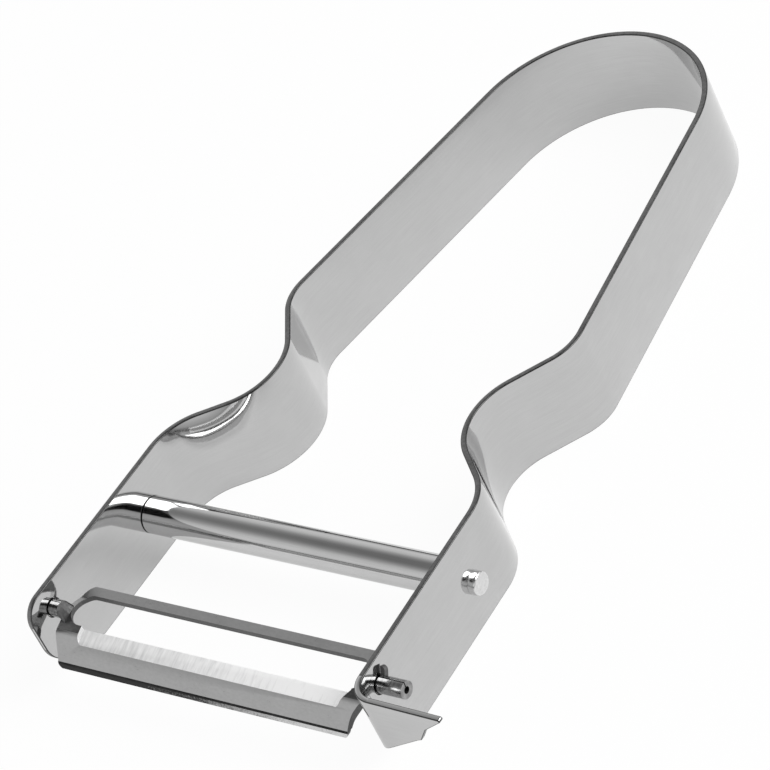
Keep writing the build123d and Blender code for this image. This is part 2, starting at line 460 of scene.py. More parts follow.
def bend_at(before: Vector, corner: Vector, after: Vector, radius: float) -> Bend:
    """Round one corner of a route.

    Args:
        before: Point before the corner.
        corner: The corner itself.
        after: Point after the corner.
        radius: Radius of the bend, in the points' unit.

    Returns:
        The bend that touches both runs.
    """
    back, ahead = (before - corner).normalized(), (after - corner).normalized()
    opening = back.angle(ahead)
    reach = radius / math.tan(opening / 2)
    centre = corner + (back + ahead).normalized() * radius / math.sin(opening / 2)
    axis = (-back).cross(ahead).normalized()
    return Bend(corner + back * reach, corner + ahead * reach, centre, axis, math.pi - opening)


class SheetPress:
    """Sheet that is drawn along a route of straight runs and round bends."""

    def __init__(
        self, name: str, start: Vector, ahead: Vector, across: Vector, section: Vector, step: float
    ) -> None:
        """Add the flat end of the sheet.

        Args:
            name: Name of the piece.
            start: Middle of the sheet's first end.
            ahead: Direction in which the sheet leaves it.
            across: Direction of the sheet's width.
            section: Width and thickness of the sheet.
            step: Largest turn between two facets of a bend, in degrees.
        """
        bpy.ops.object.select_all(action="DESELECT")
        bpy.ops.mesh.primitive_plane_add(size=1.0)
        self.piece = bpy.context.object
        self.piece.name = name
        ahead = ahead.normalized()
        turn = Matrix((across, ahead.cross(across), ahead)).transposed().to_4x4()
        scale = Matrix.Diagonal((section.x, section.y, 1.0, 1.0))
        self.piece.matrix_world = Matrix.Translation(start) @ turn @ scale
        settle(self.piece)
        self.place = start
        self.step = math.radians(step)
        bpy.ops.object.mode_set(mode="EDIT")
        bpy.ops.mesh.select_all(action="SELECT")

    def run_to(self, place: Vector) -> None:
        """Draw the sheet straight on to a point."""
        bpy.ops.mesh.extrude_region_move(TRANSFORM_OT_translate={"value": place - self.place})
        self.place = place

    def bend_round(self, bend: Bend) -> None:
        """Draw the sheet round a bend. The spin turns against its axis, so the angle is taken negative.

        Args:
            bend: Bend that starts where the sheet ends now.
        """
        steps = max(LEAST_BEND_STEPS, math.ceil(bend.angle / self.step))
        bpy.ops.mesh.spin(steps=steps, angle=-bend.angle, center=bend.centre, axis=bend.axis)
        self.place = bend.end

    def follow(self, points: Sequence[Vector], radii: Sequence[float]) -> None:
        """Draw the sheet along a polyline, each inner corner rounded.

        Args:
            points: Corners of the route, its start and end among them.
            radii: Radius at each inner corner.
        """
        for before, corner, after, radius in zip(points, points[1:], points[2:], radii, strict=False):
            bend = bend_at(before, corner, after, radius)
            self.run_to(bend.start)
            self.bend_round(bend)
        self.run_to(points[-1])

    def release(self) -> bpy.types.Object:
        """Leave edit mode with a clean, closed mesh.

        Returns:
            The finished sheet.
        """
        bpy.ops.mesh.select_all(action="SELECT")
        bpy.ops.mesh.remove_doubles(threshold=MERGE)
        bpy.ops.mesh.normals_make_consistent(inside=False)
        bpy.ops.object.mode_set(mode="OBJECT")
        return self.piece


def arc_points(points: Sequence[Vector], radii: Sequence[float], step: float = 8.0) -> list[Vector]:
    """Outline with round corners.

    Args:
        points: Corners of a closed outline.
        radii: Radius at each corner, 0 where it stays sharp.
        step: Largest turn between two points of an arc, in degrees.

    Returns:
        The outline's points.
    """
    outline: list[Vector] = []
    count = len(points)
    for i, radius in enumerate(radii):
        if radius == 0:
            outline.append(points[i])
            continue
        bend = bend_at(points[i - 1], points[i], points[(i + 1) % count], radius)
        steps = max(LEAST_ARC_STEPS, math.ceil(math.degrees(bend.angle) / step))
        for k in range(steps + 1):
            turn = Matrix.Rotation(bend.angle * k / steps, 3, bend.axis)
            outline.append(bend.centre + turn @ (bend.start - bend.centre))
    return outline


def plate(name: str, outline: Sequence[Vector], through: Vector) -> bpy.types.Object:
    """Flat plate with a drawn outline.

    Args:
        name: Name of the plate.
        outline: Its outline in metres, on its first face.
        through: Way from the first face to the second.

    Returns:
        The closed plate.
    """
    bpy.ops.object.select_all(action="DESELECT")
    bpy.ops.mesh.primitive_circle_add(vertices=len(outline), fill_type="NGON")
    made = bpy.context.object
    made.name = name
    settle(made)
    for vertex, point in zip(made.data.vertices, outline, strict=True):
        vertex.co = point
    bpy.ops.object.mode_set(mode="EDIT")
    bpy.ops.mesh.select_all(action="SELECT")
    bpy.ops.mesh.extrude_region_move(TRANSFORM_OT_translate={"value": through})
    bpy.ops.mesh.select_all(action="SELECT")
    bpy.ops.mesh.normals_make_consistent(inside=False)
    bpy.ops.object.mode_set(mode="OBJECT")
    return made


def round_bar(name: str, start: Vector, end: Vector, radius: float, sides: int = 64) -> bpy.types.Object:
    """Round bar between two points.

    Args:
        name: Name of the bar.
        start: Middle of its first end, in metres.
        end: Middle of its other end, in metres.
        radius: Its radius in metres.
        sides: Number of flats round it.

    Returns:
        The bar.
    """
    along = end - start
    bpy.ops.object.select_all(action="DESELECT")
    bpy.ops.mesh.primitive_cylinder_add(vertices=sides, radius=radius, depth=along.length)
    made = bpy.context.object
    made.name = name
    turn = along.to_track_quat("Z", "Y").to_matrix().to_4x4()
    made.matrix_world = Matrix.Translation((start + end) / 2) @ turn
    settle(made)
    return made


def carve(piece: bpy.types.Object, tool: bpy.types.Object, way: Carve) -> None:
    """Cut, keep or weld a piece with a tool, which is used up.

    Args:
        piece: Piece that is worked on.
        tool: Closed mesh that works on it, with the finish that its cut leaves.
        way: What the tool does.
    """
    take(piece)
    bpy.ops.object.modifier_add(type="BOOLEAN")
    modifier = piece.modifiers[-1]
    modifier.object = tool
    modifier.operation = way.value
    modifier.solver = "EXACT"
    modifier.material_mode = "TRANSFER"
    bpy.ops.object.modifier_apply(modifier=modifier.name)
    bpy.data.objects.remove(tool)


def break_edges(
    piece: bpy.types.Object,
    width: float,
    angle: float = 30.0,
    finish: bpy.types.Material | None = None,
) -> None:
    """Break a piece's sharp edges.

    Args:
        piece: Piece to finish.
        width: Width of the broken edge in millimetres.
        angle: Smallest turn that counts as an edge, in degrees.
        finish: Material of the broken edges, where it isn't that of the faces beside them; on the strap, a
            painted shade.
    """
    take(piece)
    bpy.ops.object.mode_set(mode="EDIT")
    bpy.ops.mesh.select_all(action="SELECT")
    bpy.ops.mesh.remove_doubles(threshold=MERGE)
    bpy.ops.mesh.select_mode(type="EDGE")
    bpy.ops.mesh.select_all(action="DESELECT")
    bpy.ops.mesh.edges_select_sharp(sharpness=math.radians(angle))
    slot = piece.data.materials.find(finish.name) if finish else -1
    bpy.ops.mesh.bevel(offset=width * MM, segments=2, affect="EDGES", clamp_overlap=False, material=slot)
    bpy.ops.object.mode_set(mode="OBJECT")


def shade(piece: bpy.types.Object, angle: float = 50.0) -> None:
    """Shade a piece smooth up to an angle, with flat faces kept flat.

    Args:
        piece: Piece to shade.
        angle: Largest turn that is shaded smooth, in degrees.
    """
    take(piece)
    bpy.ops.object.shade_smooth_by_angle(angle=math.radians(angle))
    bpy.ops.object.modifier_add(type="WEIGHTED_NORMAL")
    weighted = piece.modifiers[-1]
    weighted.keep_sharp = True
    bpy.ops.object.modifier_apply(modifier=weighted.name)


def soften(piece: bpy.types.Object, width: float, angle: float = 30.0) -> None:
    """Break a piece's sharp edges and give it clean shading.

    Args:
        piece: Piece to finish.
        width: Width of the broken edge in millimetres.
        angle: Smallest turn that counts as an edge, in degrees.
    """
    break_edges(piece, width, angle)
    shade(piece)


# The head: where the arms are, and the axes that cross between them


@dataclass(frozen=True)
class Head:
    """Arms' planes in front of the handle's bends, and the turned axes of the blade and the crossbar."""

    half_width: float = 24.95
    corner_station: float = 27.75
    left_lean: float = math.radians(-1.25)
    right_lean: float = math.radians(3.5)
    thickness: float = 0.75
    pivot_height: float = 9.55
    bar_station: float = 19.5
    bar_height: float = 5.6

    def lean(self, side: Side) -> float:
        """Angle at which an arm runs outwards towards its front, in radians."""
        return self.right_lean if side is Side.RIGHT else self.left_lean

    def arm_x(self, side: Side, station: float, outward: float = 0.0) -> float:
        """X of an arm's plane.

        Args:
            side: Side of the handle.
            station: Where along the arm.
            outward: Distance from the arm's middle plane.

        Returns:
            The X in millimetres.
        """
        lean = self.lean(side)
        width = self.half_width + (self.corner_station - station) * math.tan(lean)
        return side.value * (width + outward / math.cos(lean))

    def along(self, side: Side, station: float, outward: float = 0.0) -> float:
        """Distance from the middle of the head to an arm's plane, along the turned axis.

        Args:
            side: Side of the handle.
            station: Where the axis starts.
            outward: Distance from the arm's middle plane.

        Returns:
            The distance in millimetres, negative on the left.
        """
        tilt = math.cos(HEAD_TURN) + side.value * math.sin(HEAD_TURN) * math.tan(self.lean(side))
        return self.arm_x(side, station, outward) / tilt

    def frame_at(self, station: float, height: float) -> Matrix:
        """Place and turn of an axis across the head, in metres."""
        return Matrix.Translation(place_of(0.0, station, height)) @ Matrix.Rotation(HEAD_TURN, 4, "Z")


HEAD = Head()


@dataclass
class HandleStrap:
    """Bent strip: loop handle, waist, both arms, their holes and the pointed flange."""

    width: float = 12.7
    corner_radius: float = 8.15
    waist: tuple[float, float, float] = (12.8, 38.05, 8.8)
    shoulder: tuple[float, float, float] = (22.5, 51.5, 6.8)
    loop_radius: float = 16.55
    toe_start: float = 4.0
    toe_rise: float = 3.3
    toe_radius: float = 4.2
    top_radius: float = 2.9
    left_reach: float = 4.4
    flange_reach: float = 4.13
    flange_length: float = 13.95
    flange_bend: float = 3.1
    flange_tip: float = 0.25
    flange_shares: tuple[tuple[float, float], ...] = (
        (0.022, 0.27), (0.584, 0.61), (0.631, 0.63), (0.742, 0.80), (1.0, 1.0),
    )
    burr_from: float = 1.0
    cut_facing: float = 0.7
    pivot_hole: float = 1.18
    rivet_hole: float = 1.15
    hole_sides: int = 40
    bend_step: float = 3.0
    edge_break: float = 0.12
    overrun: float = 2.0
    piece: bpy.types.Object = field(init=False)

    def loop_touch(self, side: Side) -> Vector:
        """Find where a straight side runs into the loop's arc.

        Args:
            side: Side of the handle.

        Returns:
            The X and the station in millimetres.
        """
        centre = LOOP_END - self.loop_radius
        half, station, _ = self.shoulder
        along = centre - station
        taper = math.atan2(half, along) - math.asin(self.loop_radius / math.hypot(half, along))
        x = side.value * self.loop_radius * math.cos(taper)
        return Vector((x, centre + self.loop_radius * math.sin(taper)))

    def half_route(self, side: Side) -> list[Vector]:
        """List the corners of one side from its front end to the loop.

        Args:
            side: Side of the handle.

        Returns:
            The corners in metres, along the strip's middle.
        """
        touch = self.loop_touch(side)
        sign = side.value
        if side is Side.RIGHT:
            flange = HEAD.arm_x(side, -self.flange_reach)
            flat = [(flange + self.flange_length, -self.flange_reach), (flange, -self.flange_reach)]
        else:
            flat = [(HEAD.arm_x(side, -self.left_reach), -self.left_reach)]
        flat += [
            (sign * HEAD.half_width, HEAD.corner_station),
            (sign * self.waist[0], self.waist[1]),
            (sign * self.shoulder[0], self.shoulder[1]),
            (touch.x, touch.y),
        ]
        return [place_of(x, station, self.width / 2) for x, station in flat]

    def bend_strip(self) -> None:
        """Draw the strip from the flange's tip round the loop to the left arm's end."""
        right, left = self.half_route(Side.RIGHT), self.half_route(Side.LEFT)[::-1]
        radii = [self.corner_radius * MM, self.waist[2] * MM, self.shoulder[2] * MM]
        section = Vector((self.width, HEAD.thickness)) * MM
        up = Vector((0, 0, 1))
        press = SheetPress("handle_strap_steel", right[0], right[1] - right[0], up, section, self.bend_step)
        press.follow(right, [self.flange_bend * MM, *radii])
        centre = place_of(0.0, LOOP_END - self.loop_radius, self.width / 2)
        ahead = (right[-1] - right[-2]).angle(left[1] - left[0])
        press.bend_round(Bend(right[-1], left[0], centre, up, ahead))
        press.follow(left, radii[::-1])
        self.piece = press.release()

    def cut_ends(self, edge: bpy.types.Material) -> None:
        """Cut the arms' front ends, the flange's outline and the holes.

        Args:
            edge: Finish of the cut faces.
        """
        flange = HEAD.arm_x(Side.RIGHT, -self.flange_reach)
        far = flange + self.flange_length + self.overrun
        along = Vector((far, 0, 0)) * MM
        past_flange = Vector((0, self.flange_bend + self.overrun, 0)) * MM
        tools = [
            plate("left_toe", self.left_waste(far), along),
            plate("right_toe", self.right_waste(), along),
            plate("flange_edge", self.flange_waste(flange), past_flange),
        ]
        holes = (
            (HEAD.frame_at(0.0, HEAD.pivot_height), self.pivot_hole),
            (HEAD.frame_at(HEAD.bar_station, HEAD.bar_height), self.rivet_hole),
        )
        for across, radius in holes:
            tools.append(round_bar("hole", across @ -along, across @ along, radius * MM, self.hole_sides))
        for tool in tools:
            tool.data.materials.append(edge)
            carve(self.piece, tool, Carve.CUT)

    def left_waste(self, far: float) -> list[Vector]:
        """Draw what is cut away round the left arm's front end.

        Args:
            far: X past everything, in millimetres.

        Returns:
            The outline in metres.
        """
        kept = [
            Vector((0, self.toe_start, 0.0)),
            Vector((0, self.toe_start, self.width)),
            Vector((0, -self.left_reach, self.width)),
            Vector((0, -self.left_reach, self.toe_rise)),
        ]
        kept = arc_points(kept, (0, 0, self.top_radius, self.toe_radius))
        front, height = -self.left_reach - self.overrun, self.width + self.overrun
        outline = [
            *kept[1:], kept[0],
            Vector((0, self.toe_start, -self.overrun)), Vector((0, front, -self.overrun)),
            Vector((0, front, height)), Vector((0, self.toe_start, height)),
        ]
        return [place_of(-far, point.y, point.z) for point in outline]

    def right_waste(self) -> list[Vector]:
        """Draw what is cut from below the right arm's front end.

        Returns:
            The outline in metres.
        """
        far = -self.flange_reach - self.overrun
        flat = [
            (self.toe_start, 0.0), (-self.flange_reach, self.toe_rise), (far, self.toe_rise),
            (far, -self.overrun), (self.toe_start, -self.overrun),
        ]
        return [place_of(0.0, station, rise) for station, rise in flat]

    def flange_waste(self, flange: float) -> list[Vector]:
        """Draw what is cut from round the flange's rising edge and its tip.

        Args:
            flange: X where the flange leaves the arm, in millimetres.

        Returns:
            The outline in metres.
        """
        edge = [Vector((flange + x * self.flange_length, 0, z * self.width)) for x, z in self.flange_shares]
        first, tip = edge[0], edge[-1]
        radii = (0,) * (len(edge) - 1) + (self.flange_tip, 0)
        kept = arc_points([*edge, Vector((first.x, 0, self.width))], radii)
        low, high, far = -self.overrun, self.width + self.overrun, tip.x + self.overrun
        around = [(first.x, low), *((point.x, point.z) for point in kept[:-1])]
        around += [(kept[-2].x, high), (far, high), (far, low)]
        start = -self.flange_reach - self.overrun
        return [place_of(x, start, z) for x, z in around]

    def build(self) -> list[bpy.types.Object]:
        """Make and dress the strip.

        Returns:
            The finished piece, alone in its list.
        """
        face, edge, edge_shade = POLISHED_STRIP.make(), SHEARED_EDGE.make(), BROKEN_EDGE_SHADE.make()
        self.bend_strip()
        self.piece.data.materials.append(face)
        self.cut_ends(edge)
        paint_faces(self.piece, edge, lambda p: abs(p.normal.z) > self.cut_facing)
        front, up = place_of(0.0, -self.burr_from, 0.0).y, self.cut_facing
        paint_faces(self.piece, face, lambda p: p.normal.z > up and p.center.y < front and p.center.x > 0)
        # The broken edges get a painted shade: darker lines along every sharp edge of the strip.
        self.piece.data.materials.append(edge_shade)
        break_edges(self.piece, self.edge_break, finish=edge_shade)
        shade(self.piece)
        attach(self.piece, "frame")
        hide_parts("handle_strap")
        return [self.piece]


@dataclass
class Crossbar:
    """Sleeve that keeps the arms apart, and the rivet through it."""

    radius: float = 2.42
    bore: float = 1.15
    joint_width: float = 0.13
    joint_depth: float = 0.35
    head_radius: float = 1.48
    head_height: float = 1.08
    head_rounding: float = 0.3
    rim_share: float = 0.99
    rim_steps: int = 5
    shank: float = 1.1
    sleeve_sides: int = 128
    core_sides: int = 96
    bore_sides: int = 48
    shank_sides: int = 40
    edge_break: float = 0.03
    rivet_edge_angle: float = 40.0
    overrun: float = 2.0

    def across(self, x: float, out: float = 0.0) -> Vector:
        """Point on the bar's axis in metres, or out of it upwards."""
        return HEAD.frame_at(HEAD.bar_station, HEAD.bar_height) @ (Vector((x, 0, out)) * MM)

    def make_sleeve(self) -> bpy.types.Object:
        """Turn the sleeve, with a fine joint at each end where it meets the arm, painted near black as
        shade.

        Returns:
            The sleeve.
        """
        half = HEAD.half_width + self.overrun
        ends = self.across(-half), self.across(half)
        # The joint's core and the bore get a painted shade, near black.
        sleeve_shade = JOINT_SHADE.make()
        sleeve = round_bar("crossbar_sleeve_steel", *ends, self.radius * MM, self.sleeve_sides)
        sleeve.data.materials.append(POLISHED_BAR.make())
        core = round_bar("joint_core", *ends, (self.radius - self.joint_depth) * MM, self.core_sides)
        core.data.materials.append(sleeve_shade)
        for side in Side:
            self.face_end(sleeve, side, self.joint_width)
            self.face_end(core, side, 0.0)
        carve(sleeve, core, Carve.WELD)
        hole = round_bar("sleeve_bore", *ends, self.bore * MM, self.bore_sides)
        hole.data.materials.append(sleeve_shade)
        carve(sleeve, hole, Carve.CUT)
        soften(sleeve, self.edge_break)
        return sleeve

    def face_end(self, bar: bpy.types.Object, side: Side, gap: float) -> None:
        """Cut one end of a bar parallel to its arm.

        Args:
            bar: The bar.
            side: Side of the arm.
            gap: Distance in millimetres that it keeps from the arm.
        """
        lean = HEAD.lean(side)
        inner = HEAD.arm_x(side, HEAD.bar_station, -HEAD.thickness / 2 - gap)
        plane = place_of(inner, HEAD.bar_station, HEAD.bar_height)
        normal = Vector((side.value * math.cos(lean), math.sin(lean), 0))
        take(bar)
        bpy.ops.object.mode_set(mode="EDIT")
        bpy.ops.mesh.select_all(action="SELECT")
        bpy.ops.mesh.bisect(plane_co=plane, plane_no=normal, clear_outer=True, use_fill=True)
        bpy.ops.object.mode_set(mode="OBJECT")

    def make_rivet(self) -> bpy.types.Object:
        """Head the rivet on both arms.

        Returns:
            The rivet.
        """
        face = HEAD.thickness / 2
        middle = face + self.head_height / 2
        ends = [self.across(HEAD.along(side, HEAD.bar_station, middle)) for side in Side]
        rivet = round_bar("crossbar_rivet_steel", *ends, self.shank * MM, self.shank_sides)
        steel = RIVET_STEEL.make()
        rivet.data.materials.append(steel)
        for side in Side:
            lean = HEAD.lean(side)
            out = Vector((side.value * math.cos(lean), math.sin(lean), 0))
            seat = self.across(HEAD.along(side, HEAD.bar_station, face))
            head = round_bar("rivet_head", seat, seat + out * self.head_height * MM, self.head_radius * MM)
            self.round_head(head, seat, out)
            head.data.materials.append(steel)
            carve(rivet, head, Carve.WELD)
        soften(rivet, self.edge_break, self.rivet_edge_angle)
        return rivet

    def round_head(self, head: bpy.types.Object, seat: Vector, out: Vector) -> None:
        """Round the outer rim of a rivet head.

        Args:
            head: The head.
            seat: Middle of its seat on the arm.
            out: Direction out of the arm.
        """
        take(head)
        bpy.ops.object.mode_set(mode="EDIT")
        bpy.ops.mesh.select_all(action="DESELECT")
        mesh = bmesh.from_edit_mesh(head.data)
        for edge in mesh.edges:
            middle = (edge.verts[0].co + edge.verts[1].co) / 2
            edge.select_set((middle - seat).dot(out) > self.rim_share * self.head_height * MM)
        bmesh.update_edit_mesh(head.data)
        bpy.ops.mesh.bevel(offset=self.head_rounding * MM, segments=self.rim_steps, affect="EDGES")
        bpy.ops.object.mode_set(mode="OBJECT")

    def build(self) -> list[bpy.types.Object]:
        """Make the sleeve and the rivet.

        Returns:
            Both pieces.
        """
        sleeve, rivet = self.make_sleeve(), self.make_rivet()
        for piece, node in ((sleeve, "crossbar_sleeve"), (rivet, "crossbar_rivet")):
            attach(piece, "frame")
            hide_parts(node)
        return [sleeve, rivet]


@dataclass
class SwivelBlade:
    """Pressed blade: slotted sheet with a ground edge, rolled pivots and tongues."""

    thickness: float = 0.65
    left_gap: float = 1.5
    right_gap: float = 1.1
    web_drop: float = 0.825
    guard_rear: float = 4.23
    guard_front: float = 2.77
    guard_rise: float = 0.905
    web_slope: float = math.radians(17.0)
    web_fold_radius: float = 1.5
    front_bend: float = 2.235
    front_radius: float = 1.2
    front_reach: float = 4.58
    front_drop: float = 4.25
    lip_length: float = 0.65
    lip_lean: float = 0.15
    lip_radius: float = 0.5
    guard_corners: tuple[float, float] = (3.8, 2.4)
    lip_corner: float = 0.8
    lip_steps: int = 6
    end_cut_across: float = 1.7
    end_cut_along: float = 2.4
    knee_across: float = 1.5
    knee_along: float = 1.0
    knee_radius: float = 2.5
    left_cut_across: float = 0.65
    left_cut_along: float = 1.9
    neck: float = 0.85
    slot_rear: float = 3.1
    slot_round_share: float = 0.498
    edge_station: float = -1.15
    edge_drop: float = 1.45
    bevel_width: float = 2.13
    bevel_slope: float = math.radians(16.6)
    bevel_margins: tuple[float, float] = (2.65, 1.3)
    bevel_slant: float = 1.4
    bevel_corner: float = 0.9
    pivot_radius: float = 1.1
    pivot_bore: float = 0.45
    pivot_lengths: tuple[float, float] = (1.9, 3.8)
    root_overlap: float = 0.05
    neck_root: float = 0.8
    neck_height: float = 0.62
    neck_spread: float = 1.2
    seam_angle: float = 82.0
    seam_width: float = 0.15
    tongue_gap: float = 0.24
    tongue_width: float = 0.65
    tongue_height: float = 2.3
    tongue_rounding: float = 0.55
    tongue_angle: float = 57.4
    tongue_step: float = 12.0
    bend_step: float = 5.0
    pivot_sides: int = 48
    bore_sides: int = 32
    level_facing: float = 0.92
    crease_rise: float = 0.35
    crease_facing: tuple[float, float] = (-0.975, -0.77)
    lip_facing: float = -0.96
    past_end: float = 1.0
    overrun: float = 2.0
    piece: bpy.types.Object = field(init=False)

    @property
    def ends(self) -> tuple[float, float]:
        """Find the blade's ends.

        Returns:
            X of the left and of the right end in millimetres, from the middle of the head.
        """
        inner = -HEAD.thickness / 2
        left = HEAD.along(Side.LEFT, 0.0, inner) + self.left_gap
        right = HEAD.along(Side.RIGHT, 0.0, inner) - self.right_gap
        return left, right

    def press_sheet(self) -> None:
        """Press the blade's section out of flat sheet."""
        left, right = self.ends
        middle, length = (left + right) / 2, right - left
        bend_drop = self.web_drop + self.front_bend * math.tan(self.web_slope)
        corners = [
            (self.guard_rear, self.guard_rise - self.web_drop),
            (self.guard_front, -self.web_drop),
            (0, -self.web_drop),
            (-self.front_bend, -bend_drop),
            (-self.front_reach, -self.front_drop),
            (-self.front_reach - self.lip_lean, -self.front_drop - self.lip_length),
        ]
        points = [Vector((middle, y, z)) * MM for y, z in corners]
        section = Vector((length, self.thickness)) * MM
        ahead, along = points[1] - points[0], Vector((1, 0, 0))
        press = SheetPress("swivel_blade_steel", points[0], ahead, along, section, self.bend_step)
        radii = (self.front_radius, self.web_fold_radius, self.front_radius, self.lip_radius)
        press.follow(points, [radius * MM for radius in radii])
        self.piece = press.release()

    def cut_plan(self, edge: bpy.types.Material) -> None:
        """Trim the sheet to its outline and cut the slot.

        Args:
            edge: Finish of the cut faces.
        """
        left, right = self.ends
        low = -self.front_drop - self.lip_length - self.overrun
        rise = self.guard_rise + self.overrun
        front = -self.front_reach - self.lip_lean - self.overrun
        lip_right = right - self.end_cut_across
        lip_left = left + self.left_cut_across
        corners = [
            (lip_left, front), (lip_right, front), (lip_right, -self.front_reach),
            (right - self.knee_across, self.knee_along - self.front_reach),
            (right, self.end_cut_along - self.front_reach), (right, self.guard_rear),
            (left, self.guard_rear), (left, self.left_cut_along - self.front_reach),
            (lip_left, -self.front_reach),
        ]
        left_guard, right_guard = self.guard_corners
        radii = (0, 0, 0, self.knee_radius, 0, right_guard, left_guard, self.knee_radius, 0)
        plan = arc_points([Vector((x, y, 0)) for x, y in corners], radii)
        through = Vector((0, 0, rise - low)) * MM
        kept = plate("plan", [Vector((p.x, p.y, low)) * MM for p in plan], through)

        slot_left, slot_right = left + self.neck, right - self.neck
        rounding = self.slot_round_share * (self.slot_rear - self.edge_station)
        corners = [
            (slot_left, self.edge_station), (slot_right, self.edge_station),
            (slot_right, self.slot_rear), (slot_left, self.slot_rear),
        ]
        slot = arc_points([Vector((x, y, 0)) for x, y in corners], (rounding,) * len(corners))
        gap = plate("slot", [Vector((p.x, p.y, low)) * MM for p in slot], through)

        for tool, way in ((kept, Carve.KEEP), (gap, Carve.CUT)):
            tool.data.materials.append(edge)
            carve(self.piece, tool, way)
        self.round_lip(edge, lip_left, lip_right)

    def round_lip(self, edge: bpy.types.Material, lip_left: float, lip_right: float) -> None:
        """Round the lip's lower corners.

        Args:
            edge: Finish of the cut faces.
            lip_left: X of the lip's left end.
            lip_right: X of its right end.
        """
        end = -self.front_drop - self.lip_length
        radius = self.lip_corner
        front = -self.front_reach - self.lip_lean - self.overrun
        depth = Vector((0, -self.front_reach + radius - front, 0)) * MM
        for corner, inwards in ((lip_left, 1), (lip_right, -1)):
            outer, below = corner - inwards * self.overrun, end - self.overrun
            outline = [Vector((outer, front, below)), Vector((corner + inwards * radius, front, below))]
            for k in range(self.lip_steps + 1):
                angle = math.pi / 2 * k / self.lip_steps
                along, up = radius * (1 - math.sin(angle)), radius * (1 - math.cos(angle))
                outline.append(Vector((corner + inwards * along, front, end + up)))
            outline.append(Vector((outer, front, end + radius)))
            tool = plate("lip_corner", [point * MM for point in outline], depth)
            tool.data.materials.append(edge)
            carve(self.piece, tool, Carve.CUT)

    def grind(self, ground: bpy.types.Material) -> None:
        """Grind the bevel down to the cutting edge.

        Args:
            ground: Finish of the bevel.
        """
        left, right = self.ends
        left += self.neck + self.bevel_margins[0]
        right -= self.neck + self.bevel_margins[1]
        rise = self.guard_rise + self.overrun
        edge = (self.edge_station, -self.edge_drop)
        run = (self.bevel_width * math.cos(self.bevel_slope), self.bevel_width * math.sin(self.bevel_slope))
        heel = (edge[0] - run[0], edge[1] - run[1])
        side_view = [edge, heel, (heel[0], rise), (self.guard_front, rise), (self.guard_front, edge[1])]
        along = Vector((right - left, 0, 0)) * MM
        wheel = plate("bevel", [Vector((left, y, z)) * MM for y, z in side_view], along)
        low = -self.front_drop - self.overrun
        top_view = [Vector((x, y, low)) for x, y in (
            (left, heel[0]), (right - self.bevel_slant, heel[0]), (right, edge[0]),
            (right, self.guard_front), (left, self.guard_front),
        )]
        rounded = arc_points(top_view, (self.bevel_corner, self.bevel_corner, 0, 0, 0))
        limit = plate("bevel_end", [point * MM for point in rounded], Vector((0, 0, rise - low)) * MM)
        for tool in (wheel, limit):
            tool.data.materials.append(ground)
        carve(wheel, limit, Carve.KEEP)
        carve(self.piece, wheel, Carve.CUT)

    def roll_pivot(
        self, side: Side, rolled: bpy.types.Material, neck: bpy.types.Material
    ) -> bpy.types.Object:
        """Roll one end of the blade into its pivot, with its bore and its seam.

        Args:
            side: Side of the blade.
            rolled: Finish of the pivot.
            neck: Painted shade of its neck, its tongue, its bore and its seam, a darker grey.

        Returns:
            The rolled pivot with its tongue.
        """
        sign = side.value
        at_left = side is Side.LEFT
        web = self.ends[0] if at_left else self.ends[1]
        face = HEAD.along(side, 0.0, HEAD.thickness / 2)
        end = face + sign * (self.pivot_lengths[0] if at_left else self.pivot_lengths[1])
        root = web - sign * self.root_overlap
        start, tip = Vector((root, 0, 0)) * MM, Vector((end, 0, 0)) * MM
        tube = round_bar("pivot", start, tip, self.pivot_radius * MM, self.pivot_sides)
        tube.data.materials.append(rolled)
        self.flare(tube, root, sign)
        # The neck gets a painted shade, darker grey.
        paint_faces(tube, neck, lambda p: (p.center.x - start.x) * sign < 0)
        start, tip = Vector((web, 0, 0)) * MM, Vector((end + sign * self.past_end, 0, 0)) * MM
        half, top = self.seam_width / 2, self.pivot_radius + self.past_end
        seam = [Vector((web, y, z)) * MM for y, z in ((-half, 0), (half, 0), (half, top), (-half, top))]
        turn = Matrix.Rotation(math.radians(self.seam_angle - 90), 3, "X")
        for tool in (
            round_bar("pivot_bore", start, tip, self.pivot_bore * MM, self.bore_sides),
            plate("seam", [turn @ point for point in seam], tip - start),
        ):
            tool.data.materials.append(neck)
            carve(tube, tool, Carve.CUT)
        tongue = self.stand_tongue(face, sign)
        tongue.data.materials.append(neck)
        carve(tube, tongue, Carve.WELD)
        return tube

    def stand_tongue(self, face: float, sign: int) -> bpy.types.Object:
        """Bend one tongue up beside its arm.

        Args:
            face: X of the arm's outer face in millimetres.
            sign: Side of the blade.

        Returns:
            The tongue.
        """
        near = face + sign * self.tongue_gap
        outer = near + sign * self.tongue_width
        foot = (self.pivot_radius + self.pivot_bore) / 2
        half = self.thickness / 2
        top = self.tongue_height
        places = ((near, foot), (outer, foot), (outer, top), (near, top))
        corners = [Vector((x, -half, z)) for x, z in places]
        outline = arc_points(corners, (0, 0, self.tongue_rounding, 0), self.tongue_step)
        turn = Matrix.Rotation(math.radians(self.tongue_angle - 90), 3, "X")
        through = turn @ Vector((0, self.thickness, 0)) * MM
        return plate("tongue", [turn @ point * MM for point in outline], through)

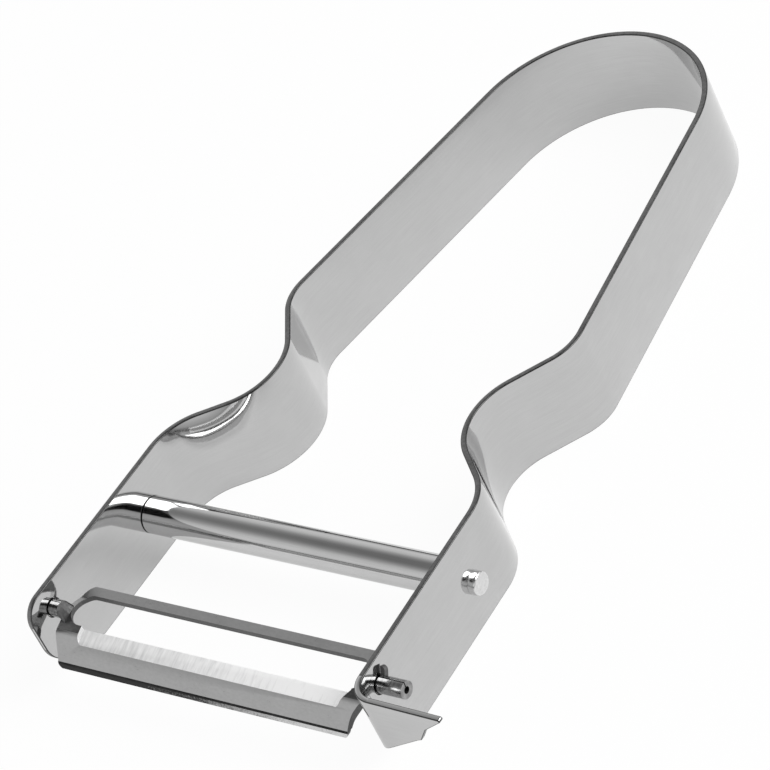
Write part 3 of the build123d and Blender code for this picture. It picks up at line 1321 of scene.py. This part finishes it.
    def flare(self, tube: bpy.types.Object, root: float, sign: int) -> None:
        """Draw the tube's inner end out into the neck, where the flat web runs into its roll.

        Args:
            tube: Round pivot, which gets the neck.
            root: X of the tube's inner end in millimetres.
            sign: Side of the blade.
        """
        take(tube)
        bpy.ops.object.mode_set(mode="EDIT")
        bpy.ops.mesh.select_mode(type="FACE")
        bpy.ops.mesh.select_all(action="DESELECT")
        mesh = bmesh.from_edit_mesh(tube.data)
        for face in mesh.faces:
            face.select_set(abs(face.calc_center_median().x - root * MM) < self.root_overlap / 2 * MM)
        bmesh.update_edit_mesh(tube.data)
        inwards = Vector((-sign * self.neck_root, 0, 0))
        bpy.ops.mesh.extrude_region_move(TRANSFORM_OT_translate={"value": inwards * MM})
        inner = Vector((root, 0, 0)) + inwards
        flat = self.neck_height / 2 / self.pivot_radius
        bpy.ops.transform.resize(value=(1, self.neck_spread, flat), center_override=inner * MM)
        bpy.ops.transform.translate(value=(0, 0, -self.web_drop * MM))
        bpy.ops.object.mode_set(mode="OBJECT")

    def dress(self, neck: bpy.types.Material, crease: bpy.types.Material, rough: bpy.types.Material) -> None:
        """Paint shade on the web's ends and on the crease above the lip, and paint the lip's front face.

        Args:
            neck: Painted shade of the web, a darker grey.
            crease: Painted shade of the crease, nearly black.
            rough: Finish of the lip's front face.
        """
        fold = -self.front_drop * MM
        top = fold + self.crease_rise * MM
        low, high = self.crease_facing
        # Painted shade: the flat web faces get the darker neck grey.
        paint_faces(self.piece, neck, lambda p: p.normal.z > self.level_facing and p.material_index == 0)
        # Painted shade: the crease above the lip, nearly black.
        paint_faces(self.piece, crease, lambda p: p.center.z < top and low < p.normal.y < high)
        paint_faces(self.piece, rough, lambda p: p.center.z < fold and p.normal.y <= self.lip_facing)

    def build(self) -> list[bpy.types.Object]:
        """Make and dress the blade.

        Returns:
            The finished piece, alone in its list.
        """
        rolled, neck = ROLLED_PIVOT.make(), BLADE_NECK_SHADE.make()
        self.press_sheet()
        self.piece.data.materials.append(SATIN_BLADE.make())
        self.cut_plan(PUNCHED_EDGE.make())
        self.grind(GROUND_BEVEL.make())
        for side in Side:
            carve(self.piece, self.roll_pivot(side, rolled, neck), Carve.WELD)
        self.dress(neck, LIP_CREASE_SHADE.make(), ROUGH_LIP.make())
        shade(self.piece)
        self.piece.matrix_world = HEAD.frame_at(0.0, HEAD.pivot_height)
        settle(self.piece)
        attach(self.piece, "blade")
        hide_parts("swivel_blade")
        return [self.piece]


@dataclass
class Studio:
    """White table, soft light and camera, none of them part of the object.

    Sizes of the studio are in metres, the camera's place and lens are in millimetres. The two shares say
    how much of the table the camera and the metal see as plain white. Each wall level is the sine of a
    height above the horizon and the brightness there.
    """

    table: float = 8.0
    seen_share: float = 0.95
    mirrored_share: float = 0.65
    wall_levels: tuple[tuple[float, float], ...] = (
        (0.0, 0.35), (0.05, 0.5), (0.15, 0.62), (0.30, 0.86), (0.52, 0.76), (0.60, 0.64), (0.70, 0.40),
        (0.78, 0.22), (1.0, 0.20),
    )
    hanging_distance: float = 1.3
    softbox_towards: tuple[float, float, float] = (0.627, 0.36, 0.69)
    softbox_size: float = 0.95
    softbox_level: float = 5.5
    card_towards: tuple[float, float, float] = (0.627, -0.36, 0.69)
    card_size: float = 0.5
    camera_place: tuple[float, float, float] = (331.9172, -319.3460, 335.2532)
    camera_turn: tuple[float, float, float] = (49.0027, 21.24475, 34.90478)
    camera_lens: float = 203.958
    sensor_width: float = 36.0
    nearest_seen: float = 0.05

    def lay_table(self) -> None:
        """Lay a white table that the camera and the metal see as white, with a faint shadow on it."""
        bpy.ops.object.select_all(action="DESELECT")
        bpy.ops.mesh.primitive_plane_add(size=self.table)
        table = bpy.context.object
        table.name = "table"
        material = empty_material("white_table")
        tree = material.node_tree
        path = add_node(tree, "ShaderNodeLightPath")
        paper = add_node(tree, "ShaderNodeBsdfDiffuse", None, {"Color": linear("F2F2F2")})
        glow = add_node(tree, "ShaderNodeEmission", None, {"Color": linear("FFFFFF"), "Strength": 1.0})
        dimmed = {"0": path.outputs["Is Glossy Ray"], "1": self.mirrored_share}
        mirrored = add_node(tree, "ShaderNodeMath", {"operation": "MULTIPLY"}, dimmed)
        both = {"0": path.outputs["Is Camera Ray"], "1": self.seen_share, "2": mirrored.outputs[0]}
        share = add_node(tree, "ShaderNodeMath", {"operation": "MULTIPLY_ADD"}, both)
        faces = {"0": share.outputs[0], "1": paper.outputs[0], "2": glow.outputs[0]}
        seen = add_node(tree, "ShaderNodeMixShader", None, faces)
        add_node(tree, "ShaderNodeOutputMaterial", None, {"Surface": seen.outputs[0]})
        table.data.materials.append(material)

    def light_room(self) -> None:
        """Put up walls that are palest at about a third of the way up, and white to the camera."""
        world = bpy.data.worlds.new("studio")
        bpy.context.scene.world = world
        world.use_nodes = True
        tree = world.node_tree
        tree.nodes.clear()
        towards = add_node(tree, "ShaderNodeTexCoord").outputs["Generated"]
        height = add_node(tree, "ShaderNodeSeparateXYZ", None, {"Vector": towards}).outputs["Z"]
        ramp = add_node(tree, "ShaderNodeValToRGB", None, {"Fac": height})
        elements = ramp.color_ramp.elements
        while len(elements) < len(self.wall_levels):
            elements.new(0.5)
        for element, (place, level) in zip(elements, self.wall_levels, strict=True):
            element.position = place
            element.color = (level, level, level, 1.0)
        path = add_node(tree, "ShaderNodeLightPath")
        around, white = (
            add_node(tree, "ShaderNodeBackground", None, {"Color": colour, "Strength": 1.0})
            for colour in (ramp.outputs["Color"], linear("FFFFFF"))
        )
        faces = {"0": path.outputs["Is Camera Ray"], "1": around.outputs[0], "2": white.outputs[0]}
        seen = add_node(tree, "ShaderNodeMixShader", None, faces)
        add_node(tree, "ShaderNodeOutputWorld", None, {"Surface": seen.outputs[0]})

    def hang_softbox(self) -> None:
        """Hang one softbox. Its level is how bright its face is, where 1 is white."""
        towards = Vector(self.softbox_towards)
        lamp = bpy.data.lights.new("softbox", "AREA")
        lamp.shape = "SQUARE"
        lamp.size = self.softbox_size
        lamp.energy = self.softbox_level * math.pi * self.softbox_size**2
        holder = bpy.data.objects.new("softbox", lamp)
        bpy.context.scene.collection.objects.link(holder)
        holder.location = towards.normalized() * self.hanging_distance
        holder.rotation_euler = towards.to_track_quat("Z", "Y").to_euler()

    def hang_card(self) -> None:
        """Hang a black card beside the camera, where the metal reflects it."""
        towards = Vector(self.card_towards)
        bpy.ops.object.select_all(action="DESELECT")
        place = towards.normalized() * self.hanging_distance
        bpy.ops.mesh.primitive_plane_add(size=self.card_size, location=place)
        card = bpy.context.object
        card.name = "black_card"
        card.rotation_euler = towards.to_track_quat("Z", "Y").to_euler()
        material = empty_material("black_card")
        tree = material.node_tree
        black = add_node(tree, "ShaderNodeBsdfDiffuse", None, {"Color": linear("101010")})
        add_node(tree, "ShaderNodeOutputMaterial", None, {"Surface": black.outputs[0]})
        card.data.materials.append(material)
        card.visible_camera = False

    def set_camera(self) -> None:
        """Stand the camera in front, to the right and above the peeler, with a long lens."""
        data = bpy.data.cameras.new("camera")
        data.lens = self.camera_lens
        data.sensor_width = self.sensor_width
        data.clip_start = self.nearest_seen
        holder = bpy.data.objects.new("camera", data)
        bpy.context.scene.collection.objects.link(holder)
        holder.location = Vector(self.camera_place) * MM
        holder.rotation_euler = [math.radians(angle) for angle in self.camera_turn]
        bpy.context.scene.camera = holder

    def build(self) -> None:
        """Set the whole studio up."""
        self.lay_table()
        self.light_room()
        self.hang_softbox()
        self.hang_card()
        self.set_camera()
        bpy.context.scene.view_settings.view_transform = "Standard"


def report(piece: bpy.types.Object) -> None:
    """Log one finished piece, the size of its mesh and how closed it is.

    Args:
        piece: Piece to report.
    """
    mesh = bmesh.new()
    mesh.from_mesh(piece.data)
    loose = sum(not edge.is_manifold for edge in mesh.edges)
    mesh.free()
    log.info("%s: %d faces, %d open edges", piece.name, len(piece.data.polygons), loose)


def main() -> None:
    """Build every sub-assembly in order, then the studio."""
    for assembly in (HandleStrap(), Crossbar(), SwivelBlade()):
        for piece in assembly.build():
            report(piece)
    Studio().build()


if __name__ == "__main__":
    main()
